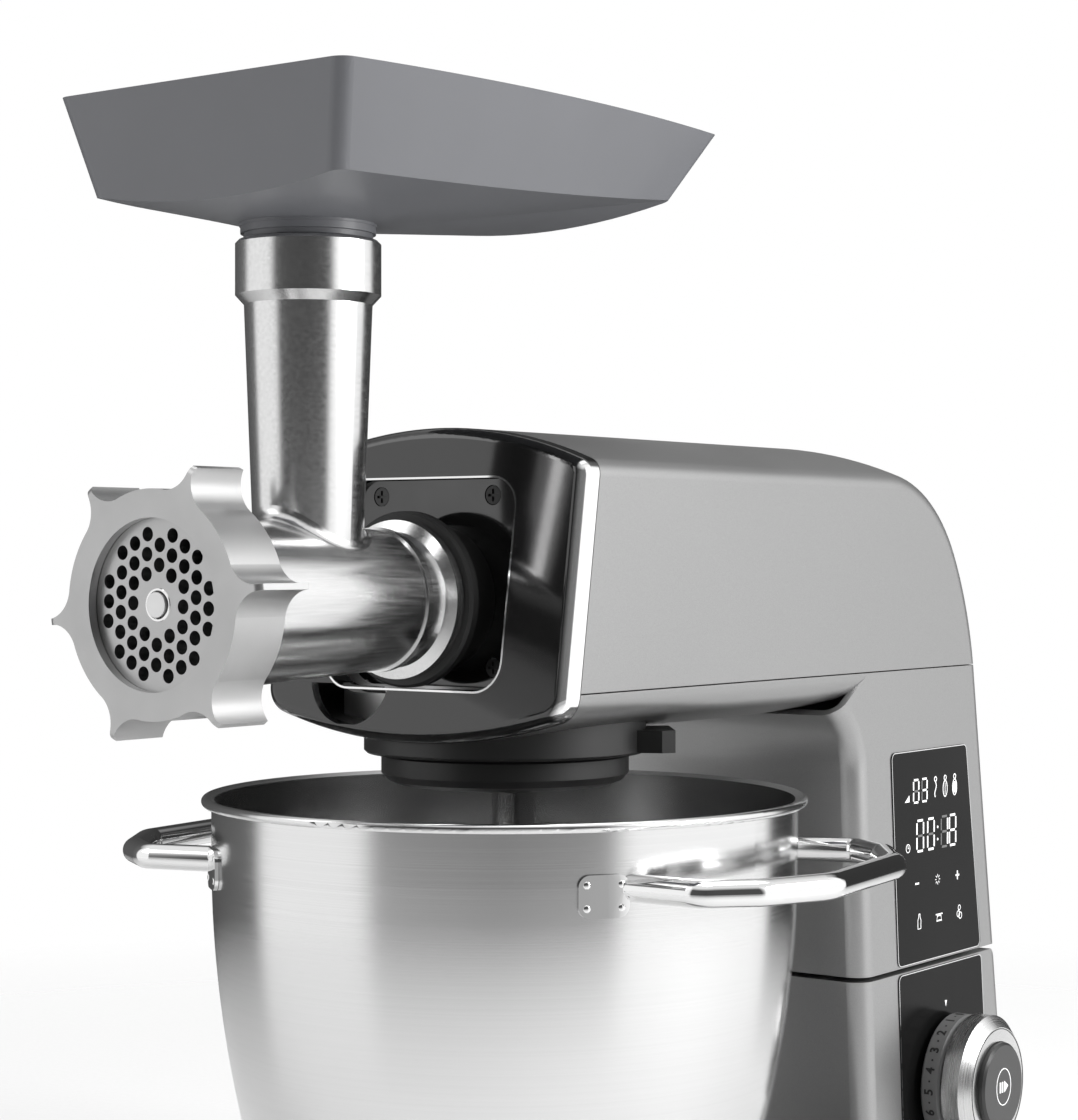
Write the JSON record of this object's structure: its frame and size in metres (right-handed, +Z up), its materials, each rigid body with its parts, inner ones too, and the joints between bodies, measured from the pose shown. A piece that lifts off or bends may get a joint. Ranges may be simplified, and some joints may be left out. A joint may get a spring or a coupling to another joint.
{
  "type": "stand mixer with meat grinder",
  "caption": "Stand mixer with a tilting head, steel bowl, speed dial and a front meat grinder with feed tray.",
  "frame": {"origin": "on the table, under the middle of the machine's bounding box", "axes": "+Z up, -Y towards the grinder at the front, +X the side with the display and dial"},
  "size_m": [0.2972, 0.4838, 0.463],
  "materials": {
    "silver_paint": "fine metallic paint, satin",
    "gunmetal_chrome": "dark chrome, mirror gloss",
    "brushed_steel": "brushed stainless steel",
    "polished_steel": "polished",
    "cast_alloy": "fine matt casting",
    "machined_steel": "turned",
    "hardened_steel": "ground",
    "grey_plastic": "satin moulded plastic",
    "black_plastic": "fine-grained moulded plastic",
    "black_glass": "black printed glass",
    "black_rubber": "matt rubber",
    "steel_plate": "zinc plated",
    "copper_winding": "enamelled wire on laminated core",
    "brass_gear": "cut brass",
    "circuit_board": "solder resist green",
    "dial_metal": "spun and lacquered"
  },
  "bodies": {
    "base": {"base_housing": "silver_paint", "base_plate": "black_plastic", "rubber_feet": "black_rubber", "base_screws": "steel_plate", "load_cells": "cast_alloy", "power_board": "circuit_board", "bowl_seat": "black_plastic", "cord_gland": "black_rubber", "control_glass_lower": "black_glass", "dial_hub": "black_plastic", "dial_encoder": "circuit_board", "hinge_bracket": "steel_plate", "hinge_pin": "machined_steel"},
    "speed_dial": {"dial_skirt": "dial_metal", "dial_ring": "dial_metal"},
    "start_key": {"start_button": "black_plastic"},
    "head_release": {"release_button": "black_plastic", "latch_slide": "black_plastic"},
    "head": {"head_cover": "silver_paint", "head_shell": "silver_paint", "control_glass_upper": "black_glass", "display_board": "circuit_board", "front_bezel": "gunmetal_chrome", "hub_panel": "gunmetal_chrome", "hub_screws": "steel_plate", "hub_collar": "black_rubber", "gear_case": "cast_alloy", "gear_case_lid": "cast_alloy", "lid_screws": "steel_plate", "main_bearings": "machined_steel", "planetary_bearing": "machined_steel", "motor_mount": "cast_alloy", "motor_stator": "copper_winding", "splash_ring": "black_plastic", "ring_gear": "black_plastic", "hinge_arms": "steel_plate"},
    "motor_rotor": {"armature": "copper_winding", "motor_shaft": "machined_steel", "motor_pinion": "hardened_steel", "cooling_fan": "black_plastic"},
    "main_drive": {"main_shaft": "machined_steel", "main_gear": "brass_gear", "bevel_pinion": "hardened_steel", "drive_socket": "machined_steel"},
    "planetary": {"planetary_shaft": "machined_steel", "bevel_gear": "hardened_steel", "planetary_carrier": "black_plastic"},
    "tool": {"tool_spindle": "polished_steel", "spindle_pin": "machined_steel", "planet_gear": "hardened_steel"},
    "bowl": {"mixing_bowl": "brushed_steel", "bowl_foot": "brushed_steel", "bowl_handles": "polished_steel"},
    "grinder": {"grinder_housing": "brushed_steel"},
    "auger": {"auger_screw": "cast_alloy", "auger_coupling": "black_plastic", "cutting_knife": "hardened_steel"},
    "cutter_plate": {"grinding_plate": "machined_steel"},
    "locking_ring": {"ring_nut": "cast_alloy"},
    "tray": {"feed_tray": "grey_plastic"}
  },
  "joints": [
    {"name": "head_tilt", "type": "hinge", "parent": "base", "child": "head", "pos_m": [0, 0.2067, 0.138], "axis": [-1, 0, 0], "range_deg": [0, 40]},
    {"name": "dial_turn", "type": "hinge", "parent": "base", "child": "speed_dial", "pos_m": [0.08, 0.1637, 0.087], "axis": [-1, 0, 0], "range_deg": [0, 180]},
    {"name": "start_press", "type": "slide", "parent": "base", "child": "start_key", "axis": [-1, 0, 0], "range_m": [0, 0.0015], "stiffness_N_per_m": 600},
    {"name": "release_press", "type": "slide", "parent": "base", "child": "head_release", "axis": [1, 0, 0], "range_m": [0, 0.004], "stiffness_N_per_m": 500},
    {"name": "bowl_twist", "type": "hinge", "parent": "base", "child": "bowl", "pos_m": [0, -0.0573, 0.038], "axis": [0, 0, 1], "range_deg": [0, 20]},
    {"name": "main_spin", "type": "hinge", "parent": "head", "child": "main_drive", "pos_m": [0, -0.0573, 0.2947], "axis": [0, 1, 0], "continuous": true},
    {"name": "motor_spin", "type": "hinge", "parent": "head", "child": "motor_rotor", "pos_m": [0, 0.1427, 0.2587], "axis": [0, 1, 0], "continuous": true},
    {"name": "planetary_spin", "type": "hinge", "parent": "head", "child": "planetary", "pos_m": [0, -0.0573, 0.23], "axis": [0, 0, 1], "continuous": true},
    {"name": "tool_spin", "type": "hinge", "parent": "planetary", "child": "tool", "pos_m": [0.01697, -0.07427, 0.2], "axis": [0, 0, 1], "continuous": true},
    {"name": "grinder_pull", "type": "slide", "parent": "head", "child": "grinder", "axis": [0, -1, 0], "range_m": [0, 0.018]},
    {"name": "auger_spin", "type": "hinge", "parent": "grinder", "child": "auger", "pos_m": [0, -0.1673, 0.2947], "axis": [0, 1, 0], "continuous": true},
    {"name": "plate_travel", "type": "slide", "parent": "grinder", "child": "cutter_plate", "axis": [0, -1, 0], "range_m": [0, 0.01201]},
    {"name": "ring_turn", "type": "hinge", "parent": "cutter_plate", "child": "locking_ring", "pos_m": [0, -0.2273, 0.2947], "axis": [0, -1, 0], "range_deg": [0, 1440]},
    {"name": "tray_lift", "type": "slide", "parent": "grinder", "child": "tray", "axis": [0, 0, 1], "range_m": [0, 0.032]}
  ],
  "couplings": [
    {"joint": "motor_spin", "follows": "main_spin", "ratio": -4},
    {"joint": "planetary_spin", "follows": "main_spin", "ratio": 0.5},
    {"joint": "tool_spin", "follows": "main_spin", "ratio": -1.5},
    {"joint": "auger_spin", "follows": "main_spin", "ratio": 1},
    {"joint": "plate_travel", "follows": "ring_turn", "m_per_rad": 0.00047746}
  ]
}
